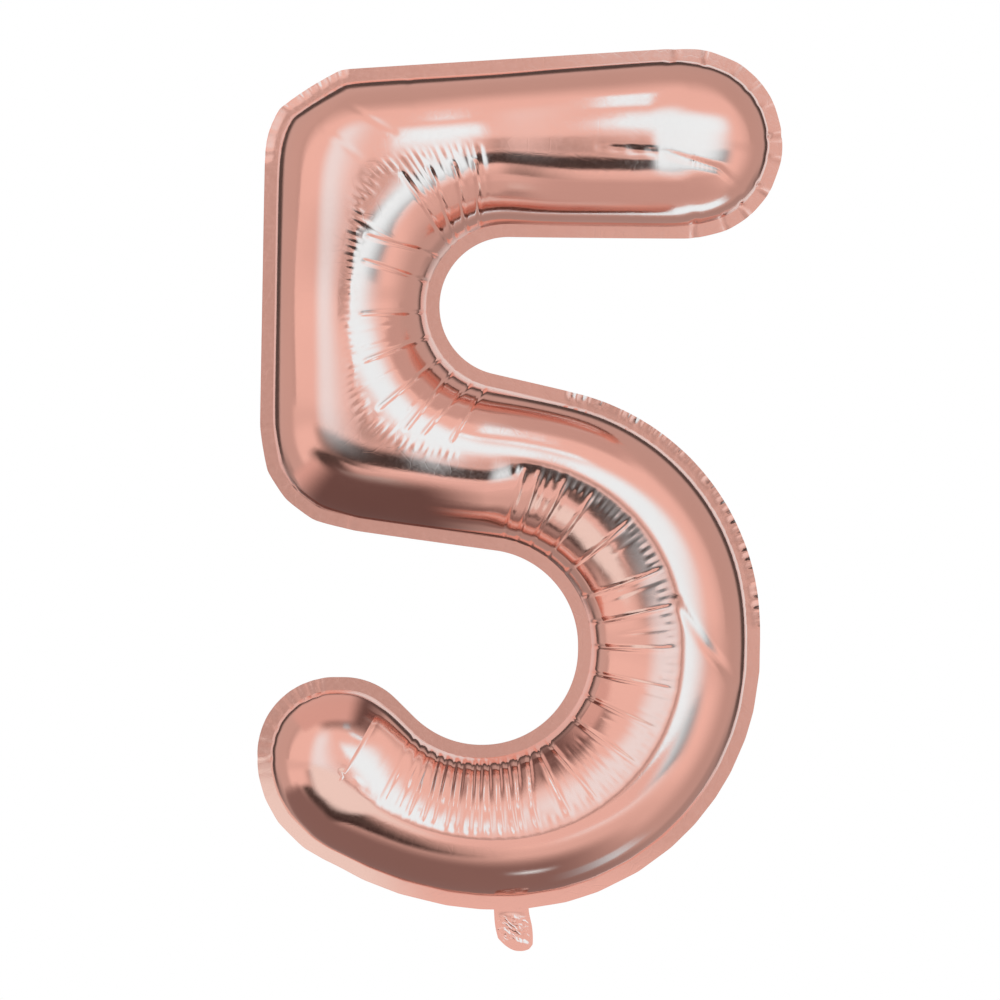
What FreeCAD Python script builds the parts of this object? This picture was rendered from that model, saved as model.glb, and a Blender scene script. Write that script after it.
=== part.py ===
"""A foil number balloon in the shape of a 5: two foil panels, heat-sealed round their edge, with a
flat self-sealing valve that runs through the seal into a fill tail, which folds just below the seal.

Millimetres. +X is to the reader's right, +Z is up and the front faces -Y. The origin is the middle of
the line where the tail leaves the balloon, which is where a ribbon is tied. Y = 0 is the seal plane."""

import FreeCAD, Part
import math
import os

V = FreeCAD.Vector

# The films are drawn thicker than they are, so that each one is a closed solid that meshes well.
FOIL = 0.8            # foil of a panel or a tail leaf
PLY = 0.4             # one ply of the valve
SEAL = 1.2            # sealed layer between the panels, which the valve passes through
FLANGE = 13.0         # width of the flat sealed band round the edge
CREST_LIMIT = 88.0    # height that the bulge levels off at on a very wide stroke
ROUND_HALF_WIDTH = 90.0   # half-width of a stroke at which the levelling off sets in

# Cut edge of the digit as a polygon with rounded corners: X, Z and radius, clockwise from the top left.
CUT_EDGE = [
    (-246, 840, 88),      # top left of the digit
    (273, 872, 95),       # upper arm's round end, above
    (273, 674, 94),       # upper arm's round end, below
    (-72, 677, 70),       # upper counter, above
    (-72, 551.6, 69),     # upper counter, below
    (250, 476, 242),      # shoulder of the bowl
    (250, 0, 258),        # right foot of the bowl
    (-93, 0, 335),        # where the foot turns up towards the lower arm
    (-255.5, 86.5, 112),  # lower arm's round end, below
    (-255.5, 234, 77),    # lower arm's round end, above
    (-138, 234, 74),      # lower arm's round end, towards the counter
    (-70, 166, 96),       # lower counter, left
    (67, 166, 96),        # lower counter, bottom right
    (67, 349.5, 96),      # lower counter, top right
    (-254, 395, 96),      # bottom left of the digit's back
]

UPPER_ARM = (0, 769)      # a point on the upper arm's middle line, level with its round end
UPPER_CENTRE = (-1.5, 607)    # centre of the upper counter's round stretch
BOWL_CENTRE = (-29, 262)      # centre of the lower counter's round stretch
LOWER_ARM_ANGLE = 150     # way that the lower arm points, in degrees from +X towards +Z
BLUNT = 0.5               # the bulge stops this far short of the seam at each end of the digit
SECTION_POINTS = 13       # points across one rib of a panel

TAIL_GAP = 4.4            # bare fold between the cut edge and the stiff part of the tail
TAIL_BACK = [(-17.3, -TAIL_GAP), (-15.5, -20), (-12.5, -31), (-1, -41), (16, -41), (21.5, -35.5),
             (21.5, -20), (18.3, -TAIL_GAP)]
TAIL_FRONT = [(-17.3, -TAIL_GAP), (-15.2, -21), (-8, -20), (4, -32), (21.5, -34),
              (21.5, -20), (18.3, -TAIL_GAP)]
TAIL_SEAL_WIDTH = 3.0     # sealed strip along each side of the tail

VALVE_MIDDLE = 3.0        # X of the valve's middle line
VALVE_WIDTH = 24.0
VALVE_TOP = 118.0         # the valve's free upper end, inside the balloon
VALVE_MOUTH = -18.0       # the valve's lower end, between the tail's leaves
VALVE_WELD = 2.5          # width of the weld along each side of the valve
INK_TOP = 16.0            # release strip where the seal crosses the valve
INK = 0.1


# ---------------------------------------------------------------- plane outlines

def unit(x, z):
    size = math.hypot(x, z)
    return x / size, z / size


def inset(corners, distance):
    """The same outline moved inwards: its sides stay parallel and its arcs concentric."""
    moved = []
    for i, (x, z, radius) in enumerate(corners):
        before, after = corners[i - 1], corners[(i + 1) % len(corners)]
        in_x, in_z = unit(x - before[0], z - before[1])
        out_x, out_z = unit(after[0] - x, after[1] - z)
        turn = in_x * out_z - in_z * out_x       # below zero where the outline turns clockwise
        shift = distance / turn
        moved.append((x + (in_x - out_x) * shift, z + (in_z - out_z) * shift,
                      radius - distance if turn < 0 else radius + distance))
    return moved


def corner_arc(corners, i):
    """Start, middle and end of the arc at corner i, as X, Z pairs."""
    x, z, radius = corners[i]
    before, after = corners[i - 1], corners[(i + 1) % len(corners)]
    in_x, in_z = unit(x - before[0], z - before[1])
    out_x, out_z = unit(after[0] - x, after[1] - z)
    half_turn = math.acos(max(-1.0, min(1.0, in_x * out_x + in_z * out_z))) / 2
    reach = radius * math.tan(half_turn)
    mid_x, mid_z = unit(out_x - in_x, out_z - in_z)
    to_arc = radius / math.cos(half_turn) - radius
    return ((x - in_x * reach, z - in_z * reach), (x + mid_x * to_arc, z + mid_z * to_arc),
            (x + out_x * reach, z + out_z * reach))


def outline_wire(corners, y):
    """Closed wire of arcs and straight runs, in the plane at that Y."""
    edges = []
    arcs = [corner_arc(corners, i) for i in range(len(corners))]
    for i, arc in enumerate(arcs):
        start, middle, end = (V(p[0], y, p[1]) for p in arc)
        following = arcs[(i + 1) % len(arcs)][0]
        edges.append(Part.Arc(start, middle, end).toShape())
        edges.append(Part.makeLine(end, V(following[0], y, following[1])))
    return Part.Wire(edges)


def outline_points(corners, step=1.5):
    """The outline as close points, for finding where a rib meets it."""
    return [(p.x, p.z) for p in outline_wire(corners, 0).discretize(Distance=step)]


# ---------------------------------------------------------------- ribs across the strokes

def direction(angle):
    return math.cos(math.radians(angle)), math.sin(math.radians(angle))


def crossings(points, through, angle):
    """Signed distances from a point, along a direction, at which the line meets the outline."""
    dx, dz = direction(angle)
    sides = [(p[0] - through[0]) * dz - (p[1] - through[1]) * dx for p in points]
    found = []
    for i in range(len(points)):
        a, b = sides[i - 1], sides[i]
        if (a < 0) != (b < 0):
            share = a / (a - b)
            x = points[i - 1][0] + share * (points[i][0] - points[i - 1][0])
            z = points[i - 1][1] + share * (points[i][1] - points[i - 1][1])
            found.append((x - through[0]) * dx + (z - through[1]) * dz)
    return sorted(found)


def along(through, angle, distance):
    dx, dz = direction(angle)
    return through[0] + dx * distance, through[1] + dz * distance


def rib_in_stroke(points, through, angle):
    """The rib nearest a point that is close to a stroke's middle line: its end on the angle's side
    comes first."""
    met = crossings(points, through, angle)
    pairs = [(met[i], met[i + 1]) for i in range(0, len(met) - 1, 2)]
    low, high = min(pairs, key=lambda pair: abs(pair[0] + pair[1]))
    return along(through, angle, high), along(through, angle, low)


def rib_round_counter(points, centre, angle):
    """Inner and outer end of the rib that leaves a counter's centre at that angle."""
    inner, outer = [d for d in crossings(points, centre, angle) if d > 0][:2]
    return along(centre, angle, inner), along(centre, angle, outer)


def cap_ribs(points, axis_point, pointing, reach, count, depth):
    """Ribs square to an arm, from just inside its tip down to a depth, closer together at the tip. The
    tip is the outermost point of the outline within reach of a point on the arm's axis."""
    dx, dz = direction(pointing)
    tip = max((p[0] - axis_point[0]) * dx + (p[1] - axis_point[1]) * dz for p in points
              if math.dist(p, axis_point) < reach)
    side = 90 if pointing < 90 else pointing - 90
    made = []
    for i in range(count):
        back = BLUNT + (depth - BLUNT) * (i / (count - 1)) ** 2
        made.append(rib_in_stroke(points, along(axis_point, pointing, tip - back), side))
    return made


def all_ribs(points):
    """Ribs from the tip of the upper arm to the tip of the lower arm. The first end of each one is on
    the side of the digit's back and of the lower counter."""
    made = cap_ribs(points, UPPER_ARM, 0, 300, 14, 95)
    reached = made[-1][0][0]
    for i in range(1, 6):
        x = reached + (UPPER_CENTRE[0] - reached) * i / 6
        made.append(rib_in_stroke(points, (x, UPPER_ARM[1]), 90))
    for angle in range(90, 262, 9):
        inner, outer = rib_round_counter(points, UPPER_CENTRE, angle)
        made.append((outer, inner))
    first, last, count = 78, LOWER_ARM_ANGLE - 270, 22
    for i in range(count + 1):
        made.append(rib_round_counter(points, BOWL_CENTRE, first + (last - first) * i / count))
    end = made[-1]
    middle = ((end[0][0] + end[1][0]) / 2, (end[0][1] + end[1][1]) / 2)
    lower = cap_ribs(points, middle, LOWER_ARM_ANGLE, 170, 14, 80)
    dx, dz = direction(LOWER_ARM_ANGLE)
    gap = (lower[-1][0][0] - middle[0]) * dx + (lower[-1][0][1] - middle[1]) * dz
    for i in range(1, 4):
        through = along(middle, LOWER_ARM_ANGLE, gap * i / 4)
        made.append(rib_in_stroke(points, through, LOWER_ARM_ANGLE - 90))
    return made + lower[::-1]


def crest(half_width):
    """Height of the bulge over a rib: as high as it is wide on a narrow one, then levelling off."""
    share = half_width / ROUND_HALF_WIDTH
    return CREST_LIMIT * share / (1 + share ** 6) ** (1 / 6)


# ---------------------------------------------------------------- solids

def bulge(ribs, seam_y, side, shortened=0.0):
    """Curved surface over the ribs, a half-ellipse on each, with its edges in the plane at seam_y. The ribs
    of the inner surface are shortened at each end, but it rises as high as the outer one."""
    rows = []
    for first, second in ribs:
        middle = ((first[0] + second[0]) / 2, (first[1] + second[1]) / 2)
        half = math.dist(first, second) / 2
        to_first = ((first[0] - middle[0]) / half, (first[1] - middle[1]) / half)
        row = []
        for j in range(SECTION_POINTS):
            angle = math.pi * j / (SECTION_POINTS - 1)
            across = half * math.cos(angle)
            row.append(V(middle[0] + to_first[0] * across,
                         side * (seam_y + crest(half + shortened) * math.sin(angle)),
                         middle[1] + to_first[1] * across))
        rows.append(row)
    surface = Part.BSplineSurface()
    surface.interpolate(rows)
    return surface


def skin(surface):
    """A bulge's curved face, the small flat face at each tip, and its closed edge in the seam plane."""
    u0, u1, v0, v1 = surface.bounds()
    tips, chords = [], []
    for u in (u0, u1):
        section = surface.uIso(u).toShape()
        chord = Part.makeLine(surface.value(u, v1), surface.value(u, v0))
        chords.append(chord)
        tips.append(Part.Face(Part.Wire([section, chord])))
    sides = [surface.vIso(v).toShape() for v in (v0, v1)]
    seam = Part.Wire(Part.__sortEdges__(sides + chords))
    return [surface.toShape()] + tips, seam


def ring_face(outer, inner):
    """The flat ring between two closed wires in one plane. The inner one only cuts a hole when it runs
    against the outer one, so it is turned round where it doesn't."""
    turned = inner.copy()
    turned.reverse()
    return min((Part.Face([outer, wire]) for wire in (inner, turned)), key=lambda face: face.Area)


def panel(outer_ribs, inner_ribs, side):
    """One foil panel: the bulged sheet and its flat band. side is -1 for the front, 1 for the back."""
    inner_y, outer_y = SEAL / 2, SEAL / 2 + FOIL
    outer_faces, outer_seam = skin(bulge(outer_ribs, outer_y, side))
    inner_faces, inner_seam = skin(bulge(inner_ribs, inner_y, side, FOIL))
    outer_rim = outline_wire(CUT_EDGE, side * outer_y)
    inner_rim = outline_wire(CUT_EDGE, side * inner_y)
    cut_faces = inner_rim.extrude(V(0, side * FOIL, 0)).Faces
    bands = [ring_face(outer_rim, outer_seam), ring_face(inner_rim, inner_seam)]
    shell = Part.makeShell(outer_faces + inner_faces + bands + cut_faces)
    shell.sewShape()
    solid = Part.Solid(shell)
    if solid.Volume < 0:
        solid.reverse()
    return solid


def plate(corners, y0, y1):
    """A flat piece with that X, Z outline between two Y values."""
    points = [V(x, y0, z) for x, z in corners]
    return Part.Face(Part.makePolygon(points + points[:1])).extrude(V(0, y1 - y0, 0))


def strip(x0, x1, z0, z1, y0, y1):
    return Part.makeBox(x1 - x0, y1 - y0, z1 - z0, V(x0, y0, z0))


def heat_seal():
    """The melted bond between the panels' bands, open where the valve passes through it."""
    rim, inner = outline_wire(CUT_EDGE, -SEAL / 2), outline_wire(inset(CUT_EDGE, FLANGE), -SEAL / 2)
    ring = ring_face(rim, inner).extrude(V(0, SEAL, 0))
    left, right = VALVE_MIDDLE - VALVE_WIDTH / 2, VALVE_MIDDLE + VALVE_WIDTH / 2
    return ring.cut(strip(left, right, -5, FLANGE + 5, -SEAL, SEAL)).Solids[0]


def tail_side(edge):
    """The sealed strip down one side of the tail, inwards from the edge that its points run down."""
    inward = TAIL_SEAL_WIDTH if edge[0][0] < 0 else -TAIL_SEAL_WIDTH
    return plate(edge + [(x + inward, z) for x, z in reversed(edge)], -SEAL / 2, SEAL / 2)


def valve_back(z0, z1):
    """Back ply of the valve with the weld along each of its sides."""
    left, right = VALVE_MIDDLE - VALVE_WIDTH / 2, VALVE_MIDDLE + VALVE_WIDTH / 2
    ply = strip(left, right, z0, z1, SEAL / 2 - PLY, SEAL / 2)
    for x in (left, right - VALVE_WELD):
        ply = ply.fuse(strip(x, x + VALVE_WELD, z0, z1, PLY - SEAL / 2, SEAL / 2 - PLY))
    return ply.removeSplitter()


def main():
    os.makedirs("parts", exist_ok=True)
    outer_ribs = all_ribs(outline_points(inset(CUT_EDGE, FLANGE)))
    inner_ribs = all_ribs(outline_points(inset(CUT_EDGE, FLANGE + FOIL)))
    left, right = VALVE_MIDDLE - VALVE_WIDTH / 2, VALVE_MIDDLE + VALVE_WIDTH / 2
    front_y, back_y = -SEAL / 2, SEAL / 2
    nodes = {
        "front_foil": panel(outer_ribs, inner_ribs, -1),
        "back_foil": panel(outer_ribs, inner_ribs, 1),
        "heat_seal": heat_seal(),
        "valve_front_film": strip(left, right, 0, VALVE_TOP, front_y, front_y + PLY),
        "valve_back_film": valve_back(0, VALVE_TOP),
        "valve_release_ink": strip(left + VALVE_WELD, right - VALVE_WELD, 0, INK_TOP,
                                   back_y - PLY - INK, back_y - PLY),
        "tail_front_leaf": plate(TAIL_FRONT, front_y - FOIL, front_y),
        "tail_back_leaf": plate(TAIL_BACK, back_y, back_y + FOIL),
        "tail_seal_left": tail_side([TAIL_BACK[0], TAIL_BACK[1]]),
        "tail_seal_right": tail_side([TAIL_BACK[7], TAIL_BACK[6], (21.5, -33.5)]),
        "valve_mouth_front": strip(left, right, VALVE_MOUTH, -TAIL_GAP, front_y, front_y + PLY),
        "valve_mouth_back": valve_back(VALVE_MOUTH, -TAIL_GAP),
    }
    for name, shape in nodes.items():
        box = shape.BoundBox
        print(f"{name:18} valid {shape.isValid()} solids {len(shape.Solids)} volume {shape.Volume:9.0f}"
              f"  X {box.XMin:.1f} {box.XMax:.1f}  Y {box.YMin:.2f} {box.YMax:.2f}"
              f"  Z {box.ZMin:.1f} {box.ZMax:.1f}")
        shape.exportStep(f"parts/{name}.step")


main()
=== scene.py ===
"""The looks of the foil number balloon: creased foil panels, fill tail, valve films, studio and camera.

The foil is worked out in millimetres on a grid of ribs. Each rib crosses a stroke of the digit, and the
grid's columns run from the strokes' middle line (the spine) out to the seam and over the flat band."""

import math

import bpy
import numpy as np
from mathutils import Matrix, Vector


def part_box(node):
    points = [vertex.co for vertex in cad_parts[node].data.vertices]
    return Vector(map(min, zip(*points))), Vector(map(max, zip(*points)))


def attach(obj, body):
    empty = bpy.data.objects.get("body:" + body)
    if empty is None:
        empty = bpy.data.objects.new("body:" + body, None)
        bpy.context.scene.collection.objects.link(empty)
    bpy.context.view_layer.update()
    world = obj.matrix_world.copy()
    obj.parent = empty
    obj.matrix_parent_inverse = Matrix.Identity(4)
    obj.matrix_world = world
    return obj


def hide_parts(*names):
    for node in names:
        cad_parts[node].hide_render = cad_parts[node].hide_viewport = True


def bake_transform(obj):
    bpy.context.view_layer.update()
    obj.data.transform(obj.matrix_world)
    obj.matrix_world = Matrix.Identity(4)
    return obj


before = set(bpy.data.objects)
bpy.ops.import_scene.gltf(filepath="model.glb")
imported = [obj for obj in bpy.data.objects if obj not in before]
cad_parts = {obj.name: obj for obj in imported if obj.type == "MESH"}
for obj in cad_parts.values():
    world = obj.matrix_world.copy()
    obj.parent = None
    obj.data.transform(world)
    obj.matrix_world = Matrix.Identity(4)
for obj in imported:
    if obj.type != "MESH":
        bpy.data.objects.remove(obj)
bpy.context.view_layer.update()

MM = 0.001

# ------------------------ the digit, as in the CAD model, mm

CUT_EDGE = [
    (-246, 840, 88), (273, 872, 95), (273, 674, 94), (-72, 677, 70), (-72, 551.6, 69),
    (250, 476, 242), (250, 0, 258), (-93, 0, 335), (-255.5, 86.5, 112), (-255.5, 234, 77),
    (-138, 234, 74), (-70, 166, 96), (67, 166, 96), (67, 349.5, 96), (-254, 395, 96),
]
BAND_WIDTH = 13.0
CREST_LIMIT = 88.0
ROUND_HALF_WIDTH = 90.0
UPPER_ARM_Z = 769.0
UPPER_CENTRE = (-1.5, 607.0)
BOWL_CENTRE = (-29.0, 262.0)
LOWER_ARM_ANGLE = 150

# ------------------------ the grid

RIBS = 641                 # ribs along the spine
TIP_A, TIP_B = 127, 119    # columns round the upper and the lower tip
ROWS, BAND = 48, 4         # rows from the spine to the seam, and across the flat band
STRAIGHT_SHARE = 0.55      # how close the ribs of a straight stroke are, next to those in a bend

COLUMNS = 2 * RIBS + TIP_A + TIP_B
ALL_ROWS = ROWS + BAND + 1

FACET_RISE = 0.085      # height of a facet above the smooth shape, for each mm between its creases
FACET_EXCESS = 0.018    # how much longer the foil is there, round the ring
FACET_SAG = 5.0         # how far a facet lies below the round shape, half way down
CREASE_DEPTH, CREASE_WIDTH = 1.3, 1.7
DEEP, DEEP_EASE = 72.0, 0.0156     # the widest corners level off, so that the depth stays the CAD's
TIP_REACH = 60.0        # radius of the smooth foil round the end of each tip's middle line
TAKE_UP = 0.985         # how much shorter the foil lies across a stroke, as its creases take some up
GAS_PUSH = 0.0012       # for each step, on each square millimetre
FOLD_STIFFNESS, BAND_STIFFNESS = 0.25, 0.6
DAMPING = 0.97
BAND_HOLD = 0.03        # how strongly the flat band is drawn back to its place at each step

# Creases that end at the crest, on the inside of the two bends: crest end and seam end, X and Z.
UPPER_CREASES = [
    (-40, 757, -33, 690), (-62, 754, -46, 686), (-87, 749, -60, 681), (-112, 739, -72, 678),
    (-156, 682, -83, 662), (-167, 655, -94, 634), (-188, 596, -101, 599), (-172, 542, -90, 572),
    (-147, 491, -70, 554), (-118, 461, -61, 537), (-101, 448, -45, 519), (-70, 440, -30, 512),
]
BOWL_CREASES = [
    (8, 426, -8, 372), (22, 424, 3, 366), (47, 416, 17, 362), (76, 410, 36, 356), (107, 381, 53, 339),
    (139, 339, 68, 314), (154, 305, 84, 290), (165, 263, 79, 265), (167, 222, 86, 239),
    (160, 177, 81, 213), (139, 138, 88, 172), (99, 91, 49, 151), (66, 84, 34, 148), (29, 80, 24, 146),
    (14, 79, 8, 144), (4, 79, -3, 144), (-8, 79, -11, 145), (-22, 79, -22, 146), (-35, 81, -31, 148),
    (-43, 82, -38, 149), (-56, 87, -47, 152), (-66, 92, -55, 155), (-77, 99, -63, 158), (-86, 104, -71, 161),
    (-97, 112, -80, 165), (-106, 119, -89, 168), (-119, 128, -99, 173), (-135, 140, -118, 181),
]


def outline(corners, inset, step):
    """Closed outline moved inwards by inset: points about step apart, their distances along it, and
    where each corner's arc starts and ends."""
    c = np.array(corners, float)
    p, radius = c[:, :2], c[:, 2]
    onward = np.roll(p, -1, 0) - p
    onward /= np.linalg.norm(onward, axis=1)[:, None]
    inward = np.roll(onward, 1, 0)
    turn = inward[:, 0] * onward[:, 1] - inward[:, 1] * onward[:, 0]
    p = p + (inward - onward) * (inset / turn)[:, None]
    radius = np.where(turn < 0, radius - inset, radius + inset)
    half = np.arccos(np.clip((inward * onward).sum(1), -1, 1)) / 2
    reach = radius * np.tan(half)
    runs, counts = [], []
    for i in range(len(c)):
        start, end = p[i] - inward[i] * reach[i], p[i] + onward[i] * reach[i]
        out = (onward[i] - inward[i]) / np.linalg.norm(onward[i] - inward[i])
        centre = p[i] + out * radius[i] / math.cos(half[i])
        first = math.atan2(start[1] - centre[1], start[0] - centre[0])
        sweep = math.copysign(2 * half[i], turn[i])
        n = max(2, int(abs(sweep) * radius[i] / step))
        t = first + sweep * np.arange(n) / n
        following = (i + 1) % len(c)
        goal = p[following] - inward[following] * reach[following]
        k = max(1, int(np.linalg.norm(goal - end) / step))
        runs += [centre + radius[i] * np.stack([np.cos(t), np.sin(t)], 1),
                 end + (goal - end) * (np.arange(k) / k)[:, None]]
        counts += [n, k]
    points = np.concatenate(runs)
    length = np.linalg.norm(np.roll(points, -1, 0) - points, axis=1)
    along = np.concatenate([[0], np.cumsum(length)])
    begin = along[np.concatenate([[0], np.cumsum(counts)])]
    return points, along, list(zip(begin[0::2], begin[1::2]))


def at(line, arc):
    """Points of an outline at distances along it."""
    points, along = line[:2]
    arc = np.mod(arc, along[-1])
    return np.stack([np.interp(arc, along, np.append(points[:, k], points[0, k])) for k in (0, 1)], -1)


def met(line, through, angle):
    """Where a line through a point meets the outline: signed distances and places, in order."""
    points, along = line[:2]
    d = np.array([math.cos(angle), math.sin(angle)])
    rel = points - through
    side = rel[:, 0] * d[1] - rel[:, 1] * d[0]
    after = np.roll(side, -1)
    i = np.where((side < 0) != (after < 0))[0]
    t = side[i] / (side[i] - after[i])
    distance = (points[i] + (np.roll(points, -1, 0)[i] - points[i]) * t[:, None] - through) @ d
    order = np.argsort(distance)
    return distance[order], (along[i] + (along[i + 1] - along[i]) * t)[order]


def rib_in_stroke(line, through, angle):
    distance, place = met(line, np.array(through), angle)
    k = min(range(0, len(distance) - 1, 2), key=lambda k: abs(distance[k] + distance[k + 1]))
    return place[k + 1], place[k]


def rib_round_counter(line, centre, angle):
    distance, place = met(line, np.array(centre), math.radians(angle))
    return place[distance > 0][:2]


def smooth_line(values, sigma):
    """A sequence smoothed along its length, with its ends kept."""
    k = np.arange(-int(3 * sigma), int(3 * sigma) + 1)
    w = np.exp(-0.5 * (k / sigma) ** 2)
    n = len(k) // 2
    padded = np.concatenate([2 * values[0] - values[n:0:-1], values, 2 * values[-1] - values[-2:-n - 2:-1]])
    return np.convolve(padded, w / w.sum(), "valid")


def ladder(line):
    """The ribs from the upper tip to the lower one: where both ends of each lie on the seam."""
    pairs = [rib_in_stroke(line, (x, UPPER_ARM_Z), math.pi / 2) for x in np.arange(178, -1.5, -3.0)]
    weights = [STRAIGHT_SHARE] * len(pairs)
    pairs += [rib_round_counter(line, UPPER_CENTRE, a)[::-1] for a in range(90, 262)]
    pairs += [rib_round_counter(line, BOWL_CENTRE, a) for a in range(78, -121, -1)]
    weights += [1.0] * (len(pairs) - len(weights))
    middle = (at(line, pairs[-1][0]) + at(line, pairs[-1][1])) / 2
    turn = math.radians(LOWER_ARM_ANGLE)
    d = np.array([math.cos(turn), math.sin(turn)])
    pairs += [rib_in_stroke(line, middle + d * t, turn - math.pi / 2) for t in np.arange(3, 58, 3.0)]
    weights += [STRAIGHT_SHARE] * (len(pairs) - len(weights))
    a, b = (np.unwrap(v, period=line[1][-1]) for v in np.array(pairs, float).T)
    weights = np.array(weights)
    for _ in range(3):
        m = (at(line, a) + at(line, b)) / 2
        step = np.linalg.norm(np.diff(m, axis=0), axis=1) * (weights[1:] + weights[:-1]) / 2
        u = np.concatenate([[0], np.cumsum(step)])
        even = np.linspace(0, u[-1], RIBS)
        a, b, weights = (smooth_line(np.interp(even, u, v), 5) for v in (a, b, weights))
    return a, b


def crest(half):
    share = half / ROUND_HALF_WIDTH
    return CREST_LIMIT * share / (1 + share ** 6) ** (1 / 6)


def smooth_balloon():
    """The balloon without creases: two panels by columns by rows, and where the columns meet the seam."""
    line = outline(CUT_EDGE, BAND_WIDTH, 0.5)
    around = line[1][-1]
    a, b = ladder(line)
    ends_a, ends_b = at(line, a), at(line, b)
    half = np.linalg.norm(ends_a - ends_b, axis=1) / 2
    low = b[-1] - around * math.ceil((b[-1] - a[-1]) / around)
    high = b[0] + around * math.ceil((a[0] - b[0]) / around)
    arc = np.concatenate([a, np.linspace(a[-1], low, TIP_B + 2)[1:-1], b[::-1],
                          np.linspace(high, a[0], TIP_A + 2)[1:-1]])

    def ring(v):
        return np.concatenate([v, np.repeat(v[-1:], TIP_B, 0), v[::-1], np.repeat(v[:1], TIP_A, 0)])

    spine, height = ring((ends_a + ends_b) / 2), ring(crest(half))
    seam, out = at(line, arc), outwards(line, arc)
    grid = np.zeros((2, COLUMNS, ALL_ROWS, 3))
    for j in range(ALL_ROWS):
        turn = math.pi / 2 * min(1, j / ROWS)
        xz = spine + (seam - spine) * math.sin(turn) + out * (BAND_WIDTH * max(0, j - ROWS) / BAND)
        grid[:, :, j, 0], grid[:, :, j, 2] = xz[:, 0], xz[:, 1]
        grid[0, :, j, 1] = -height * math.cos(turn)
    grid[1, :, :, 1] = -grid[0, :, :, 1]
    return grid, arc, line


def outwards(line, arc):
    t = at(line, arc + 1.5) - at(line, arc - 1.5)
    t /= np.linalg.norm(t, axis=1)[:, None]
    return np.stack([-t[:, 1], t[:, 0]], 1)


def step_up(v, low, high):
    t = np.clip((v - low) / (high - low), 0, 1)
    return t * t * (3 - 2 * t)


RIB = np.arange(RIBS)
FIRST_SIDE = RIB                                # columns on the side of the back and the lower counter
SECOND_SIDE = 2 * RIBS - 1 + TIP_B - RIB        # columns of the same ribs on the other side
SHARE = np.arange(ALL_ROWS) / ROWS              # 0 at the spine, 1 at the seam


def rib_at(grid, side, point, rows):
    """The rib, as a number along the spine, that passes nearest a point."""
    xz = grid[0][side][:, rows][:, :, [0, 2]]
    return int(np.argmin(((xz - np.array(point, float)) ** 2).sum(2)) // xz.shape[1])


def facets(grid, rng):
    """How the foil of the two bends lies in flat facets between sharp creases. Gives, for both panels, how
    far each point is raised, how much longer the foil is round the ring, and the nearness of a crease."""
    raised = np.zeros((2, COLUMNS, ALL_ROWS))
    longer, crease = np.zeros_like(raised), np.zeros_like(raised)
    for panel in (0, 1):
        for creases, inner, outer in ((UPPER_CREASES, SECOND_SIDE, FIRST_SIDE),
                                      (BOWL_CREASES, FIRST_SIDE, SECOND_SIDE)):
            top = [rib_at(grid, inner, c[:2], slice(0, 20)) for c in creases]
            foot = [rib_at(grid, inner, c[2:], slice(30, 48)) for c in creases]
            top, foot = np.array(top, float), np.array(foot, float)
            if panel:
                top += rng.normal(0, 5, len(top))
                foot += rng.normal(0, 2, len(foot))
            top, foot = np.sort(top), np.sort(foot)
            size = rng.uniform(0.6, 1.35, len(top))
            lean = rng.uniform(-1.3, 1.3, len(top))
            turned = rng.uniform(-0.13, 0.13, len(top))
            marked = len(top)
            if inner is FIRST_SIDE:        # the bowl's facets die away towards the lower tip
                size[-3:-1] *= (0.7, 0.35)
                turned[-3:-1] *= (0.7, 0.35)
                marked -= 1
            for j in range(ROWS + 1):
                place = top + (foot - top) * step_up(SHARE[j], 0.05, 0.95)
                k = np.clip(np.searchsorted(place, RIB, "right") - 1, 0, len(place) - 2)
                t = np.clip((RIB - place[k]) / (place[k + 1] - place[k]), 0, 1)
                run = np.linalg.norm(np.diff(grid[0][inner][:, j], axis=0), axis=1).cumsum()
                run = np.concatenate([[0], run])
                width = np.interp(place[k + 1], RIB, run) - np.interp(place[k], RIB, run)
                fade = 1 - 0.9 * step_up(SHARE[j], 0.72, 0.95)
                shape = 4 * t * (1 - t) * (1 + lean[k] * (t - 0.5)) * width * FACET_RISE * size[k] * fade
                shape += turned[k] * width * fade * np.sin(2 * np.pi * t) / 6
                near = np.min(np.abs(run[:, None] - np.interp(place[:marked], RIB, run)[None, :]), 1)
                raised[panel, inner, j] = shape * step_up(SHARE[j], -0.02, 0.05)
                lasting = step_up(SHARE[j], -0.02, 0.03) * (1 - 0.8 * step_up(SHARE[j], 0.8, 0.95))
                crease[panel, inner, j] = np.exp(-(near / CREASE_WIDTH) ** 2) * lasting
                inside = (RIB > place[0]) & (RIB < place[-1])
                longer[panel, inner, j] = inside * FACET_EXCESS * fade * step_up(SHARE[j], -0.05, 0.1)
                if j < 6:
                    ridge = 1 - step_up(SHARE[j], 0.0, 0.09)
                    raised[panel, outer, j] = raised[panel, inner, 0] * ridge
                    crease[panel, outer, j] = crease[panel, inner, 0] * ridge * 0.5
                    longer[panel, outer, j] = longer[panel, inner, 0] * ridge
    return raised, longer, crease


# ------------------------ settling the foil


def smoothed(v, sigma, axis):
    """A field smoothed round the ring (axis 1, closed) or across the rows (axis 2)."""
    k = np.arange(-int(3 * sigma + 1), int(3 * sigma + 1) + 1)
    w = np.exp(-0.5 * (k / sigma) ** 2)
    w /= w.sum()
    if axis == 1:
        return sum(wi * np.roll(v, i, 1) for i, wi in zip(k, w))
    rows = np.arange(v.shape[2])
    return sum(wi * v[:, :, np.clip(rows + i, 0, v.shape[2] - 1)] for i, wi in zip(k, w))


def pull(a, b, rest):
    """Moves both ends of edges so that they get their rest length."""
    d = b - a
    size = np.maximum(np.sqrt(np.einsum("...i,...i->...", d, d)), np.float32(1e-5))
    d *= ((size - rest) / size * np.float32(0.5))[..., None]
    a += d
    b -= d


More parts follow.
